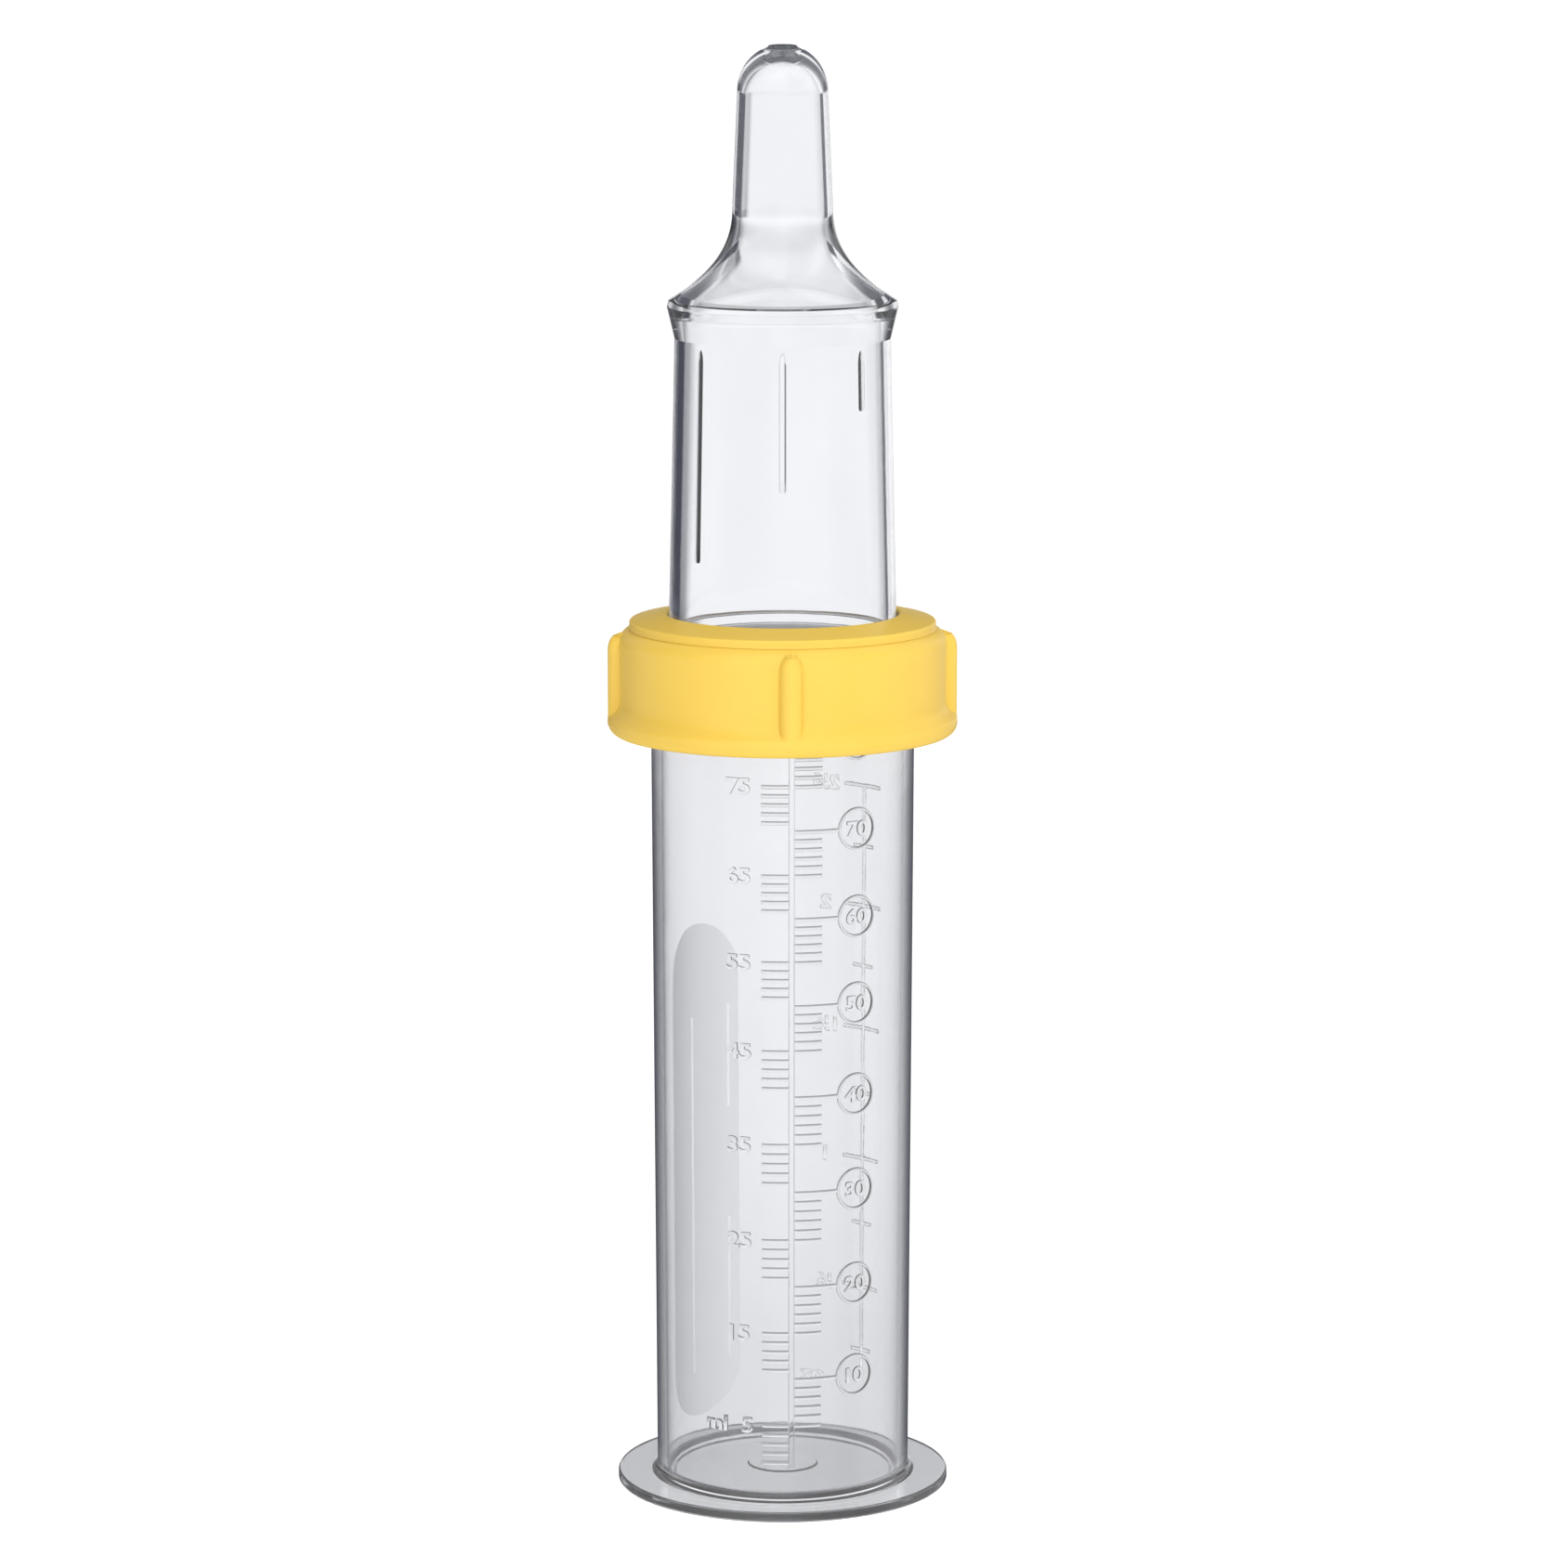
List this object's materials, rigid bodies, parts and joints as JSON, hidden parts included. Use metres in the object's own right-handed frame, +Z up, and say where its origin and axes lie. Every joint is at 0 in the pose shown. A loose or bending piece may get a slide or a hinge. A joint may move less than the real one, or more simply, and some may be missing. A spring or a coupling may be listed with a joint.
{
  "type": "squeeze feeder",
  "caption": "Hand-held liquid feeder: a tall graduated clear container with a base flange, a screw collar, and a soft clear squeeze teat over a one-way valve.",
  "frame": {"origin": "centre of the container's base, on the surface that it stands on", "axes": "+Z up along the container's axis, through the collar and the teat's tip; -Y is the front, where the millilitre scale is"},
  "size_m": [0.047, 0.047, 0.1942],
  "materials": {
    "clear_polypropylene": "clear, slightly milky, smooth",
    "yellow_polypropylene": "satin, opaque",
    "clear_silicone": "clear, glossy, soft",
    "white_polypropylene": "satin, opaque",
    "milky_silicone": "milky, soft"
  },
  "bodies": {
    "container": {"container": "clear_polypropylene"},
    "head": {"teat": "clear_silicone", "valve_disc": "white_polypropylene"},
    "collar": {"collar": "yellow_polypropylene"},
    "membrane": {"valve_membrane": "milky_silicone"}
  },
  "joints": [
    {"name": "head_lift", "type": "slide", "parent": "container", "child": "head", "axis": [0, 0, 1], "range_m": [0, 0.007]},
    {"name": "collar_turn", "type": "hinge", "parent": "head", "child": "collar", "pos_m": [0, 0, 0.11], "axis": [0, 0, 1], "range_deg": [0, 720]},
    {"name": "membrane_lift", "type": "slide", "parent": "head", "child": "membrane", "axis": [0, 0, 1], "range_m": [0, 0.0008], "stiffness_N_per_m": 20}
  ],
  "couplings": [
    {"joint": "head_lift", "follows": "collar_turn", "m_per_rad": 0.000557}
  ]
}
